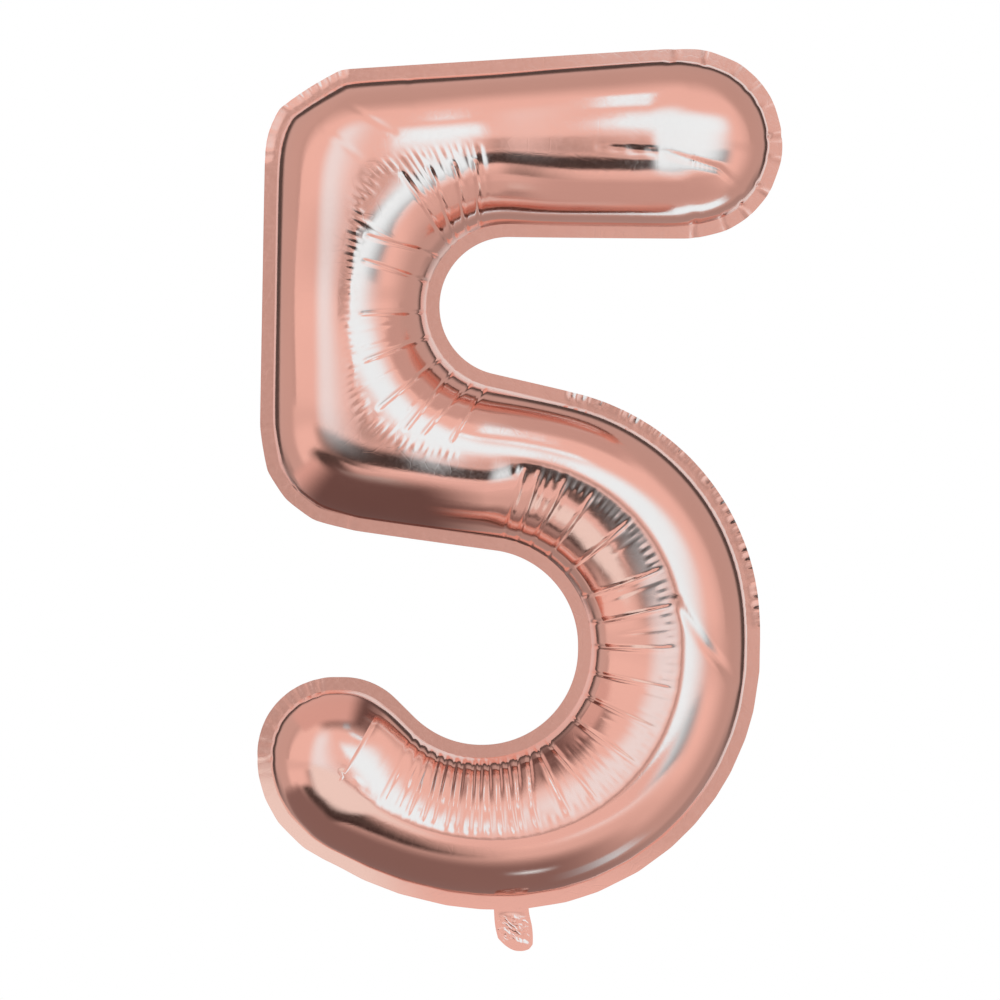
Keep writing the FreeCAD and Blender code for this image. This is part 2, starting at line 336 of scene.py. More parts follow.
def push(a, b, rest, strength):
    """Resists folding: points two steps apart are pushed back towards their flat distance."""
    d = b - a
    size = np.maximum(np.sqrt(np.einsum("...i,...i->...", d, d)), np.float32(1e-5))
    d *= (np.minimum((size - rest) / size, 0) * np.float32(0.5) * strength)[..., None]
    a += d
    b -= d


def area_vectors(x):
    """Quarter-cell area vectors, pointing outwards on both panels."""
    du = np.roll(x, -1, 1) - np.roll(x, 1, 1)
    dv = np.empty_like(x)
    dv[:, :, 1:-1] = x[:, :, 2:] - x[:, :, :-2]
    dv[:, :, 0], dv[:, :, -1] = x[:, :, 1] - x[:, :, 0], x[:, :, -1] - x[:, :, -2]
    n = np.cross(du, dv).astype(x.dtype)
    column, row = x.shape[1] // 8, x.shape[2] // 3
    if n[0, column, row, 1] > 0:
        n[0] *= -1
    if n[1, column, row, 1] < 0:
        n[1] *= -1
    return n * x.dtype.type(0.25)


def normals(x):
    n = area_vectors(x)
    return n / np.maximum(np.linalg.norm(n, axis=3, keepdims=True), 1e-6)


def settle(x, flat, extra, level, steps, ramp):
    """Settles the foil at one fineness: it can't stretch, has extra length round the ring, is pushed
    outwards by the gas, and its two panels share the band and are joined along the spine."""
    f = np.float32
    n, rows = flat.shape[1], flat.shape[2]
    seam = ROWS // level
    hoop, cross = np.roll(flat, -1, 1) - flat, flat[:, :, 1:] - flat[:, :, :-1]
    more = 1 + 0.5 * (extra + np.roll(extra, -1, 1))

    def rests(m):
        h = np.linalg.norm(hoop, axis=3) * m
        up = hoop[:, :, :-1] * m[:, :, :-1, None]
        return [v.astype(f) for v in (h, np.linalg.norm(up + np.roll(cross, -1, 1), axis=3),
                                      np.linalg.norm(cross - up, axis=3), h + np.roll(h, -1, 1))]

    start, end = rests(np.ones_like(more)), rests(more)
    m1 = np.linalg.norm(cross, axis=3).astype(f)
    m1[:, :, :seam] *= f(TAKE_UP)
    m2 = m1[:, :, :-1] + m1[:, :, 1:]
    ribs = (RIBS - 1) // level + 1
    tip_b = (TIP_B + 1) // level - 1
    ia = np.arange(ribs)
    ib = 2 * ribs - 1 + tip_b - ia
    cb, ca = np.arange(ribs, ribs + tip_b), np.arange(2 * ribs + tip_b, n)
    held = flat[0, :, seam:].astype(f)
    stiff = np.full(rows, FOLD_STIFFNESS, f)
    stiff[seam:] = BAND_STIFFNESS
    gas = np.ones(rows, f)
    gas[seam], gas[seam + 1:] = 0.5, 0
    v = np.zeros_like(x)
    for it in range(steps):
        if it % 10 == 0 and it <= ramp:
            w = f(1 if not ramp else min(1, it / ramp))
            h1, d1, d2, h2 = (a + w * (b - a) for a, b in zip(start, end))
        v *= f(DAMPING)
        v += area_vectors(x) * (f(GAS_PUSH) * gas)[None, None, :, None]
        old = x.copy()
        x += v
        y, h4 = x.reshape(2, n // 4, 4, rows, 3), h2.reshape(2, n // 4, 4, rows)
        push(y[:, :, 0:2], y[:, :, 2:4], h4[:, :, 0:2], stiff)
        push(y[:, :-1, 2:4], y[:, 1:, 0:2], h4[:, :-1, 2:4], stiff)
        push(y[:, -1, 2:4], y[:, 0, 0:2], h4[:, -1, 2:4], stiff)
        for j in range(4):
            k = len(range(j + 2, rows, 4))
            push(x[:, :, j:rows - 2:4][:, :, :k], x[:, :, j + 2::4], m2[:, :, j::4][:, :, :k],
                 f(0.4 * FOLD_STIFFNESS))
        pull(x[:, 0::2, :-1], x[:, 1::2, 1:], d1[:, 0::2])
        pull(x[:, 1::2, :-1], x[:, 0::2, 1:], d2[:, 0::2])
        pull(x[:, 1:-1:2, :-1], x[:, 2::2, 1:], d1[:, 1:-1:2])
        pull(x[:, 2::2, :-1], x[:, 1:-1:2, 1:], d2[:, 1:-1:2])
        pull(x[:, -1, :-1], x[:, 0, 1:], d1[:, -1])
        pull(x[:, 0, :-1], x[:, -1, 1:], d2[:, -1])
        pull(x[:, 0::2], x[:, 1::2], h1[:, 0::2])
        pull(x[:, 1:-1:2], x[:, 2::2], h1[:, 1:-1:2])
        pull(x[:, -1], x[:, 0], h1[:, -1])
        pull(x[:, :, 0:-1:2], x[:, :, 1::2], m1[:, :, 0::2][:, :, :len(range(1, rows, 2))])
        pull(x[:, :, 1:-1:2], x[:, :, 2::2], m1[:, :, 1::2][:, :, :len(range(2, rows, 2))])
        band = (x[0, :, seam:] + x[1, :, seam:]) * f(0.5)
        x[:, :, seam:] = band + (held - band) * f(BAND_HOLD)
        top = (x[:, ia, 0] + x[:, ib, 0]) * f(0.5)
        top[:, 0] = (x[:, ia[0], 0] + x[:, ib[0], 0] + x[:, ca, 0].sum(1)) / (2 + len(ca))
        top[:, -1] = (x[:, ia[-1], 0] + x[:, ib[-1], 0] + x[:, cb, 0].sum(1)) / (2 + len(cb))
        x[:, ia, 0], x[:, ib, 0], x[:, ca, 0], x[:, cb, 0] = top, top, top[:, :1], top[:, -1:]
        v = x - old
    return x


def finer(d):
    """A field at twice the number of columns and rows."""
    middle = (9 * (d + np.roll(d, -1, 1)) - np.roll(d, 1, 1) - np.roll(d, -2, 1)) / 16
    out = np.empty((d.shape[0], 2 * d.shape[1], d.shape[2], 3), d.dtype)
    out[:, 0::2], out[:, 1::2] = d, middle
    r = out.shape[2]
    i = np.arange(r - 1)
    middle = (9 * (out[:, :, i] + out[:, :, i + 1]) - out[:, :, np.maximum(i - 1, 0)]
              - out[:, :, np.minimum(i + 2, r - 1)]) / 16
    res = np.empty((d.shape[0], out.shape[1], 2 * r - 1, 3), d.dtype)
    res[:, :, 0::2], res[:, :, 1::2] = out, middle
    return res


# ------------------------ puckers, teeth and long folds

# Convex corners of the digit that pucker: spacing of the puckers, their depth and their reach, mm.
PUCKERED = {0: (9, 1.0, 6), 1: (27, 2.4, 22), 2: (25, 2.4, 22), 5: (8.5, 0.8, 5), 6: (34, 0.3, 8),
            7: (40, 0.2, 8), 8: (26, 0.5, 12), 9: (14, 1.8, 18), 14: (30, 1.0, 16)}
FLATTENED = {0: (0.38, 0.95)}       # the part of a corner's arc that a crease cuts straight
# Long soft folds of the front panel: X, Z of the points on each, then depth and width, mm.
LONG_FOLDS = [
    ([(88, 762), (150, 757), (205, 742), (230, 722)], 1.7, 3.6),
    ([(162, 312), (190, 268), (214, 240), (224, 226)], 1.8, 4.6),
    ([(-110, 862), (-104, 842), (-97, 800)], 0.5, 4.0),
    ([(-205, 805), (-185, 780), (-150, 752)], 0.8, 3.0),
    ([(-170, 812), (-140, 790), (-118, 776)], 0.7, 2.6),
]


def seam_puckers(line, rng):
    """Places, depths, reaches and spacings of the puckers round the convex corners."""
    found = []
    for corner, (spacing, depth, reach) in PUCKERED.items():
        start, end = line[2][corner]
        place = start - 0.3 * spacing
        while place < end + 0.3 * spacing:
            found.append((place, depth * rng.uniform(0.6, 1.3), reach * rng.uniform(0.6, 1.3), spacing,
                          CUT_EDGE[corner][2]))
            place += spacing * rng.uniform(0.75, 1.3)
    return found


def pucker(x, grid, arc, line, rng):
    """Pinches the seam and its band at the puckers, and lets the outline run straight between them."""
    around = line[1][-1]

    def past(place):
        """How far each column's end lies past a place on the outline, either way."""
        return np.mod(arc - place + around / 2, around) - around / 2

    def straightened(place, gap, radius):
        """How far the chord of an arc lies inside it, from a place and over a gap."""
        t = np.clip(past(place), 0, gap) / gap
        return (gap * gap / (2 * radius) * t * (1 - t))[:, None]

    out = outwards(line, arc)
    in_plane = np.zeros((COLUMNS, ALL_ROWS))
    along_normal = np.zeros((2, COLUMNS, ALL_ROWS))
    wave = np.zeros((COLUMNS, ALL_ROWS))
    to_seam = np.linalg.norm(grid[0] - grid[0][:, ROWS:ROWS + 1], axis=2)
    inner = np.arange(ALL_ROWS) <= ROWS
    puckers = seam_puckers(line, rng)
    for (place, depth, reach, spacing, radius), (following, *_) in zip(puckers, puckers[1:] + puckers[:1]):
        d = past(place)
        if abs(d).min() > 20:
            continue
        lean = rng.uniform(-0.25, 0.25)
        off = d[:, None] + lean * to_seam * inner
        fade = np.where(inner, np.exp(-(to_seam / reach) ** 2), 1.0)
        width = 1.5 + 0.10 * to_seam * inner
        notch = np.exp(-(off / width) ** 2)
        for panel in (0, 1):
            along_normal[panel] -= depth * rng.uniform(0.7, 1.2) * notch * fade * inner \
                * step_up(1.02 - SHARE, 0.0, 0.06)
        cusp = np.exp(-np.abs(off) / 3.0)
        pinch = step_up(SHARE, 0.82, 0.98) * (1 - 0.55 * step_up(SHARE, 1.0, 1.08))
        in_plane -= 0.8 * depth * cusp * pinch
        gap = following - place
        if 0 < gap < 2 * spacing:      # the outline runs straight from this pucker to the next
            in_plane -= straightened(place, gap, radius) * step_up(SHARE, 0.7, 1.0)
        side = 1 if rng.random() < 0.5 else -1
        if spacing < 12:           # fine serration: only the cut edge curls
            curl = -1 if at(line, place)[0] > 0 else 1      # away from the soft boxes, to mirror dark
            curled = rng.uniform(0.9, 2.0) * np.exp(-(d[:, None] / 1.8) ** 2)
            wave += curl * curled * step_up(SHARE, 1.03, 1.08)
        else:
            bent = 0.14 * depth * np.exp(-((d[:, None] - 1.0) / 1.6) ** 2)
            wave += side * bent * step_up(SHARE, 0.99, 1.08)
    for corner, (first, last) in FLATTENED.items():
        start, end = line[2][corner]
        gap = (last - first) * (end - start)
        place = start + first * (end - start)
        in_plane -= straightened(place, gap, CUT_EDGE[corner][2]) * step_up(SHARE, 0.5, 1.0)
    x += normals(x) * along_normal[..., None]
    x[..., 0] += out[:, 0][None, :, None] * in_plane
    x[..., 2] += out[:, 1][None, :, None] * in_plane
    x[..., 1] += wave
    return x


def teeth(grid, rng):
    """Fine ripples where the facets end at the crest: mostly short, and a few that run far down."""
    height = np.zeros((2, COLUMNS, ALL_ROWS))
    for panel in (0, 1):
        for creases, inner, outer in ((UPPER_CREASES, SECOND_SIDE, FIRST_SIDE),
                                      (BOWL_CREASES, FIRST_SIDE, SECOND_SIDE)):
            first = rib_at(grid, inner, creases[0][:2], slice(0, 20)) - 4
            last = rib_at(grid, inner, creases[-1][:2], slice(0, 20)) + 6
            place = float(first)
            while place < last:
                period = rng.uniform(2.6, 4.2)
                done = (place - first) / (last - first)
                long_ones = (0.45 if done < 0.35 else 0.12) if inner is SECOND_SIDE else \
                    (0.15 if done < 0.55 else 0.6)
                long = rng.random() < long_ones
                reach = rng.uniform(0.25, 0.65) if long else rng.uniform(0.04, 0.10)
                size = rng.uniform(0.25, 0.65) * (0.8 if long else 1.0)
                start = rng.uniform(-0.06, 0.0)
                bump = np.exp(-((RIB - place) / (0.28 * period)) ** 2)
                down = step_up(SHARE, -0.02, 0.015) * (1 - step_up(SHARE, reach * 0.6, reach))
                up = 1 - step_up(SHARE, 0.0, -start + 0.01)
                height[panel][inner] += size * bump[:, None] * down
                height[panel][outer] += size * bump[:, None] * up * down[0]
                place += period
    return height


def sagging(grid):
    """How far the facets lie below the round shape: they leave the crest at a kink."""
    low = np.zeros((COLUMNS, ALL_ROWS))

    def profile(share):
        t = np.clip((share + 0.10) / 0.76, 0, 1)
        return FACET_SAG * np.sin(np.pi * t) * step_up(t, -0.04, 0.16)

    for creases, inner, outer in ((UPPER_CREASES, SECOND_SIDE, FIRST_SIDE),
                                  (BOWL_CREASES, FIRST_SIDE, SECOND_SIDE)):
        first = rib_at(grid, inner, creases[0][:2], slice(0, 20))
        last = rib_at(grid, inner, creases[-1][:2], slice(0, 20))
        reach = step_up(RIB, first - 18, first + 6) * (1 - step_up(RIB, last - 6, last + 18))
        low[inner] = reach[:, None] * profile(SHARE)
        low[outer] = reach[:, None] * profile(-SHARE)
    return low


def long_folds(grid):
    """Soft folds that cross the smooth foil of the front panel."""
    xz = grid[0][:, :, [0, 2]]
    depth = np.zeros((COLUMNS, ALL_ROWS))
    for points, deep, wide in LONG_FOLDS:
        p = np.array(points, float)
        t = np.linspace(0, len(p) - 1, 40)
        curve = np.stack([np.interp(t, np.arange(len(p)), p[:, k]) for k in (0, 1)], 1)
        d = np.linalg.norm(xz[:, :, None] - curve, axis=3)
        nearest = d.argmin(2) / (len(curve) - 1)
        depth += deep * np.exp(-(d.min(2) / wide) ** 2) * np.sin(np.pi * np.clip(nearest, 0.04, 0.96)) ** 0.5
    return depth * (SHARE < 0.97)


def smooth_tips(x, grid):
    """Rounds the foil where the ribs of each tip meet in a point: near it the height follows a quartic."""
    for pole in (grid[0, 0, 0], grid[0, RIBS - 1, 0]):
        for panel in (0, 1):
            dx, dz = x[panel, ..., 0] - pole[0], x[panel, ..., 2] - pole[2]
            r = np.hypot(dx, dz)
            near = r < TIP_REACH
            u, v, height = dx[near] / TIP_REACH, dz[near] / TIP_REACH, x[panel, ..., 1][near]
            terms = np.stack([u ** i * v ** k for i in range(5) for k in range(5 - i)], 1)
            weight = np.sqrt(r[near] + 0.5)            # the points crowd at the pole
            fit = terms @ np.linalg.lstsq(terms * weight[:, None], height * weight, rcond=None)[0]
            blend = 1 - step_up(r[near], 0.45 * TIP_REACH, TIP_REACH)
            x[panel, ..., 1][near] = height + (fit - height) * blend
    return x


def foil():
    """Both panels, settled and creased, in mm."""
    grid, arc, line = smooth_balloon()
    rng = np.random.default_rng(7)
    raised, longer, crease = facets(grid, rng)
    x = grid + normals(grid) * raised[..., None]
    half = grid[:, ::2, ::2]
    x2 = x[:, ::2, ::2].astype(np.float32)
    x2 = settle(x2, half, longer[:, ::2, ::2], level=2, steps=180, ramp=60)
    x = (x + finer(x2 - x[:, ::2, ::2])).astype(np.float32)
    x = settle(x, grid, longer, level=1, steps=90, ramp=0)
    x = x.astype(float)
    # the band keeps only its slow waves
    hold = step_up(SHARE, 0.9, 1.0)[None, None, :, None]
    slow = smoothed(x - grid, 8, 1)
    x += hold * (grid + slow - x)
    x[:, :, ROWS:, 1] *= 0.5
    over = np.maximum(np.abs(x[..., 1]) - DEEP, 0)
    x[..., 1] -= np.sign(x[..., 1]) * DEEP_EASE * over ** 2
    x = smooth_tips(x, grid)
    depth = CREASE_DEPTH * crease * (SHARE < 0.985) + sagging(grid)
    depth[0] += long_folds(grid)
    x += normals(x) * (teeth(grid, rng) - depth)[..., None]
    return pucker(x, grid, arc, line, rng)


# ------------------------ meshes

FILM_OFFSET = 0.75      # half the distance between the two panels' bands, mm


def link(name, mesh):
    piece = bpy.data.objects.new(name, mesh)
    bpy.context.scene.collection.objects.link(piece)
    return piece


def mesh_piece(name, points, faces, material):
    mesh = bpy.data.meshes.new(name)
    mesh.from_pydata((np.asarray(points) * MM).tolist(), [], faces)
    mesh.validate()
    mesh.update()
    mesh.polygons.foreach_set("use_smooth", [True] * len(mesh.polygons))
    mesh.materials.append(material)
    return link(name, mesh)


def panel_faces(flip):
    """Quads of one panel, with the spine's two copies of each point made one."""
    index = np.arange(COLUMNS * ALL_ROWS).reshape(COLUMNS, ALL_ROWS)
    index[SECOND_SIDE, 0] = index[FIRST_SIDE, 0]
    index[RIBS:RIBS + TIP_B, 0] = index[RIBS - 1, 0]
    index[2 * RIBS + TIP_B:, 0] = index[0, 0]
    after = np.roll(index, -1, 0)
    quads = np.stack([index[:, :-1], after[:, :-1], after[:, 1:], index[:, 1:]], -1).reshape(-1, 4)
    faces = [list(dict.fromkeys(q)) for q in (quads[:, ::-1] if flip else quads).tolist()]
    return [face for face in faces if len(face) > 2]


def used_only(points, faces):
    """Leaves out the points that no face uses."""
    used = np.unique([v for face in faces for v in face])
    new = np.zeros(len(points), int)
    new[used] = np.arange(len(used))
    return points[used], [[int(new[v]) for v in face] for face in faces]


def make_panels(x, material):
    """The two foil panels and the cut edge of the seal between them."""
    column = np.arange(COLUMNS)
    on_seam = np.zeros((COLUMNS, ALL_ROWS))
    on_seam[:, ROWS] = 1
    made = []
    for k, (name, side) in enumerate((("foil_panel_front", -1), ("foil_panel_back", 1))):
        points = np.concatenate([x[k], on_seam[..., None]], 2).reshape(-1, 4)
        points[:, 1] += side * FILM_OFFSET
        points, faces = used_only(points, panel_faces(flip=side > 0))
        made.append(mesh_piece(name, points[:, :3], faces, material))
        mesh = made[-1].data
        ends = np.zeros(2 * len(mesh.edges), int)
        mesh.edges.foreach_get("vertices", ends)
        fold = (points[ends.reshape(-1, 2), 3] > 0.5).all(1)       # the seam is a sharp fold
        mesh.attributes.new("sharp_edge", "BOOLEAN", "EDGE").data.foreach_set("value", fold)
    front, back = (x[k, :, -1] + (0, side * FILM_OFFSET, 0) for k, side in ((0, -1), (1, 1)))
    after = np.roll(column, -1)
    faces = np.stack([column, column + COLUMNS, after + COLUMNS, after], 1).tolist()
    return made, np.concatenate([front, back]), faces


LEFT_EDGE = [(10, -17.6), (0, -17.4), (-20, -15.4), (-31, -12.5), (-42, -9.0)]      # Z and X
RIGHT_EDGE = [(10, 17.2), (0, 17.6), (-20, 21.3), (-33, 21.6), (-42, 20.5)]
FRONT_LIP = [(0, -20.8), (0.10, -18.9), (0.22, -19.6), (0.42, -27.2), (0.55, -31.6), (0.75, -34.0),
             (0.93, -35.6), (1, -34.4)]                                           # share across and Z
BACK_LIP = [(0, -28.5), (0.10, -33.6), (0.25, -38.2), (0.42, -40.8), (0.60, -41.4), (0.80, -40.6),
            (0.93, -38.4), (1, -34.8)]
TAIL_TOP = 3.0           # how far up over the band the leaves start


def through(points, v):
    """A smooth curve through points with rising first values, at v."""
    p = np.array(sorted(points), float)
    slope = np.gradient(p[:, 1], p[:, 0])
    k = np.clip(np.searchsorted(p[:, 0], v, "right") - 1, 0, len(p) - 2)
    run = p[k + 1, 0] - p[k, 0]
    t = np.clip((v - p[k, 0]) / run, 0, 1)
    return ((2 * t ** 3 - 3 * t ** 2 + 1) * p[k, 1] + (t ** 3 - 2 * t ** 2 + t) * run * slope[k]
            + (3 * t ** 2 - 2 * t ** 3) * p[k + 1, 1] + (t ** 3 - t ** 2) * run * slope[k + 1])


def grid_faces(across, down, flip=False):
    i = np.arange(across * down).reshape(down, across)
    quads = np.stack([i[:-1, :-1], i[:-1, 1:], i[1:, 1:], i[1:, :-1]], -1).reshape(-1, 4)
    return (quads[:, ::-1] if flip else quads).tolist()


def crinkles(rng, across, down, scale):
    """Noise between -1 and 1 with sharp valleys, as in film that was crumpled and pulled flat."""
    noise = rng.standard_normal((1, down, across))
    noise = smoothed(smoothed(noise, scale, 1), scale, 2)[0]
    return np.clip(1 - 1.6 * np.abs(noise / noise.std()), -1, 1)


def leaf(name, lip, side, rng, material):
    """One leaf of the fill tail, crinkled away from the valve's mouth, with smooth sealed sides."""
    across, down = 70, 84
    u, v = np.meshgrid(np.linspace(0, 1, across), np.linspace(0, 1, down))
    z = TAIL_TOP + (through(lip, u) - TAIL_TOP) * v
    left, right = through(LEFT_EDGE, z), through(RIGHT_EDGE, z)
    x = left + (right - left) * u
    loose = np.sin(np.pi * np.clip((u - 0.07) / 0.86, 0, 1)) ** 0.7 * step_up(-z, 1.0, 9.0)
    fine = crinkles(rng, across, down, 3.6) + 0.4 * crinkles(rng, across, down, 2.0)
    low = step_up(-z, 2.0, 12.0) * step_up(z, -35.0, -28.0)
    bulged = 0.6 + 0.19 * fine * low + 0.15 * np.sin(5 * u + 0.10 * z)
    rolled = 0.8 * step_up(v, 0.86, 1.0) * (1 if side < 0 else 0.2)
    y = side * (FILM_OFFSET + 0.04 + np.maximum(0, loose * (bulged + rolled)))
    points = np.stack([x, y, z], -1).reshape(-1, 3)
    return mesh_piece(name, points, grid_faces(across, down, side > 0), material)


def tail_edge(name, edge, inward, low, material):
    """The melted strip down one side of the tail."""
    z = np.linspace(0.5, low, 40)
    x = through(edge, z)
    section = ((0.05, -0.7), (3, -0.55), (3, 0.55), (0.05, 0.7))      # inwards, and Y
    ring = [np.stack([x + a * inward, np.full_like(z, y), z], 1) for a, y in section]
    points = np.stack(ring, 1).reshape(-1, 3)
    faces = [[4 * r + a, 4 * r + (a + 1) % 4, 4 * r + 4 + (a + 1) % 4, 4 * r + 4 + a]
             for r in range(len(z) - 1) for a in range(4)]
    faces += [[0, 1, 2, 3], [4 * len(z) - 1 - a for a in range(4)]]
    return mesh_piece(name, points, faces, material)


def valve_film(name, side, rng, material):
    """One film of the valve, from inside the balloon down into the tail, welded along both sides."""
    across, down = 25, 150
    lo, hi = (np.array(c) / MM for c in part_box("valve_front_film"))
    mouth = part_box("valve_mouth_front")[0][2] / MM
    u, v = np.meshgrid(np.linspace(0, 1, across), np.linspace(0, 1, down))
    x = lo[0] + (hi[0] - lo[0]) * u
    z = hi[2] + (mouth - hi[2]) * v
    free = np.sin(np.pi * np.clip((u - 0.1) / 0.8, 0, 1)) ** 0.5
    y = side * (0.04 + 0.34 * free) + 0.03 * free * np.sin(0.22 * z + 5 * u)
    inside = step_up(z, 14, 60)
    wave = 1.5 * np.sin(z / 17 + rng.uniform(0, 1)) * inside
    points = np.stack([x, y + wave, z], -1).reshape(-1, 3)
    return mesh_piece(name, points, grid_faces(across, down, side > 0), material)


# ------------------------ materials

FOIL_COLOUR = (0.86, 0.53, 0.455)
ROOM_TINT = (1.0, 0.82, 0.77)          # the room's own warm tone
SOFT_BOX = (0.977, 1.585, 1.846)       # bluish, so that its image in the foil is a neutral white
PICTURE_WIDTH = 1.005                  # metres across the photograph, at the balloon
PICTURE_CENTRE = (-0.0113, 0.412)      # X and Z
FLOOR_Z = -0.3

# Cards near the balloon that only the foil sees: name, centre, the point it faces, width, height, colour
# and softness of its edges.
CARDS = (
    ("streak_card", (0.145, -0.88, 1.90), (0.13, 0, 0.81), 0.28, 0.80, SOFT_BOX, 0.12),
    ("dark_floor", (-0.30, 0.06, -0.14), (-0.30, 0.06, 1.0), 1.28, 0.62, (0.27, 0.20, 0.19), 0.11),
    ("dark_rim", (-0.27, -0.225, -0.135), (-0.27, -0.225, 1.0), 0.56, 0.09, (0.05, 0.035, 0.035), 0.22),
    ("middle_arm_card", (-0.16, 0, 0.348), (-0.02, 0, 1.348), 0.46, 0.30, (0.16, 0.11, 0.105), 0.14),
    ("lobe_card", (-0.25, 0, 0.336), (-0.25, 0, 0), 0.33, 0.30, (0.76, 0.57, 0.53), 0.10),
    ("lobe_front_card", (-0.26, -0.31, 0.043), (-0.185, -0.08, 0.16), 0.38, 0.25,
     (0.96, 1.04, 1.04), 0.12),
    ("cap_card", (0.17, -0.80, 1.02), (0.17, -0.07, 0.82), 0.30, 0.22, SOFT_BOX, 0.2),
    ("low_streak_card", (0.04, -0.08, -0.132), (0.04, -0.08, 1.0), 0.11, 0.036, (0.85, 1.25, 1.40), 0.25),
    ("upper_arm_card", (0.12, -0.10, 0.650), (0.12, -0.10, 1.65), 0.36, 0.14, (0.64, 0.51, 0.48), 0.14),
    ("low_card", (-0.02, -0.66, -0.12), (-0.02, 0, 0.10), 1.2, 0.34, (0.92, 0.75, 0.71), 0.10),
)


class Shader:
    """A node tree with short ways to add and join nodes."""

    def __init__(self, owner):
        owner.use_nodes = True
        self.tree = owner.node_tree

    def add(self, kind, settings=None, **inputs):
        node = self.tree.nodes.new("ShaderNode" + kind)
        for key, value in (settings or {}).items():
            setattr(node, key, value)
        for key, value in inputs.items():
            self.put(node.inputs[int(key[1:]) if key[1:].isdigit() else key.replace("_", " ")], value)
        return node

    def put(self, socket, value):
        if isinstance(value, bpy.types.NodeSocket):
            self.tree.links.new(value, socket)
        else:
            socket.default_value = value

    def math(self, operation, *values):
        inputs = {f"i{k}": value for k, value in enumerate(values)}
        return self.add("Math", {"operation": operation}, **inputs).outputs[0]

    def step(self, value, low, high, start=0.0, end=1.0):
        node = self.add("MapRange", {"interpolation_type": "SMOOTHSTEP"},
                        i0=value, i1=low, i2=high, i3=start, i4=end)
        return node.outputs[0]

    def band(self, value, low, high, soft):
        return self.math("MULTIPLY", self.step(value, low - soft, low + soft),
                         self.step(value, high - soft, high + soft, 1.0, 0.0))

    def both(self, first, *others):
        for mask in others:
            first = self.math("MULTIPLY", first, mask)
        return first

    def towards(self, level, mask, value):
        """level where the mask is 0, value where it is 1"""
        return self.math("MULTIPLY_ADD", self.math("SUBTRACT", value, level), mask, level)


def foil_material():
    """Metallised film, rose gold: a soft mirror with a faint orange peel and hair-fine crinkles."""
    material = bpy.data.materials.new("rose_gold_foil")
    s = Shader(material)
    principled = s.tree.nodes["Principled BSDF"]
    principled.inputs["Metallic"].default_value = 1.0
    place = s.add("TexCoord").outputs["Object"]
    cloud = s.add("TexNoise", Vector=place, Scale=9.0, Detail=3.0)
    tint = s.add("ValToRGB", Fac=cloud.outputs["Fac"])
    tint.color_ramp.elements[0].position = 0.3
    tint.color_ramp.elements[1].position = 0.75
    tint.color_ramp.elements[0].color = (*(c * 0.975 for c in FOIL_COLOUR), 1)
    tint.color_ramp.elements[1].color = (*(min(1, c * 1.03) for c in FOIL_COLOUR), 1)
    s.put(principled.inputs["Base Color"], tint.outputs["Color"])
    grain = s.add("TexNoise", Vector=place, Scale=260.0, Detail=4.0)
    s.put(principled.inputs["Roughness"], s.step(grain.outputs["Fac"], 0.2, 0.8, 0.085, 0.15))
    peel = s.add("TexNoise", Vector=place, Scale=45.0, Detail=2.0)
    creased = s.add("TexVoronoi", {"feature": "DISTANCE_TO_EDGE"}, Vector=place, Scale=70.0)
    hair = s.step(creased.outputs["Distance"], 0.0, 0.04)
    height = s.math("MULTIPLY_ADD", hair, 0.12, peel.outputs["Fac"])
    bump = s.add("Bump", Strength=0.10, Distance=0.0008, Height=height)
    s.put(principled.inputs["Normal"], bump.outputs["Normal"])
    return material


def bond_material():
    """The cut edge of the melted seal: duller than the film's face."""
    material = bpy.data.materials.new("sealed_edge")
    s = Shader(material)
    principled = s.tree.nodes["Principled BSDF"]
    principled.inputs["Metallic"].default_value = 0.6
    place = s.add("TexCoord").outputs["Object"]
    grain = s.add("TexNoise", Vector=place, Scale=500.0, Detail=3.0)
    tint = s.add("ValToRGB", Fac=grain.outputs["Fac"])
    tint.color_ramp.elements[0].color = (0.50, 0.25, 0.21, 1)
    tint.color_ramp.elements[1].color = (0.74, 0.42, 0.36, 1)
    s.put(principled.inputs["Base Color"], tint.outputs["Color"])
    s.put(principled.inputs["Roughness"], s.step(grain.outputs["Fac"], 0.2, 0.8, 0.3, 0.5))
    return material


def film_material():
    """Clear polyethylene film, a little milky, with drawn lines along the valve."""
    material = bpy.data.materials.new("clear_film")
    s = Shader(material)
    principled = s.tree.nodes["Principled BSDF"]
    principled.inputs["Base Color"].default_value = (0.93, 0.92, 0.90, 1)
    principled.inputs["Alpha"].default_value = 0.55
    place = s.add("TexCoord").outputs["Object"]
    drawn = s.add("Mapping", Vector=place, Scale=(900, 900, 40))
    lines = s.add("TexNoise", Vector=drawn.outputs["Vector"], Scale=1.0, Detail=2.0)
    s.put(principled.inputs["Roughness"], s.step(lines.outputs["Fac"], 0.3, 0.7, 0.18, 0.34))
    bump = s.add("Bump", Strength=0.2, Distance=0.0003, Height=lines.outputs["Fac"])
    s.put(principled.inputs["Normal"], bump.outputs["Normal"])
    return material


def ink_material():
    """Heat-resistant ink, printed as close dots."""
    material = bpy.data.materials.new("release_ink")
    s = Shader(material)
    principled = s.tree.nodes["Principled BSDF"]
    place = s.add("TexCoord").outputs["Object"]
    dots = s.add("TexVoronoi", Vector=place, Scale=900.0, Randomness=0.1)
    tint = s.add("ValToRGB", Fac=dots.outputs["Distance"])
    tint.color_ramp.elements[0].color = (0.62, 0.62, 0.60, 1)
    tint.color_ramp.elements[1].color = (0.90, 0.90, 0.88, 1)
    tint.color_ramp.elements[1].position = 0.5
    s.put(principled.inputs["Base Color"], tint.outputs["Color"])
    s.put(principled.inputs["Roughness"], s.step(dots.outputs["Distance"], 0.0, 0.6, 0.7, 0.85))
    return material


# ------------------------ studio

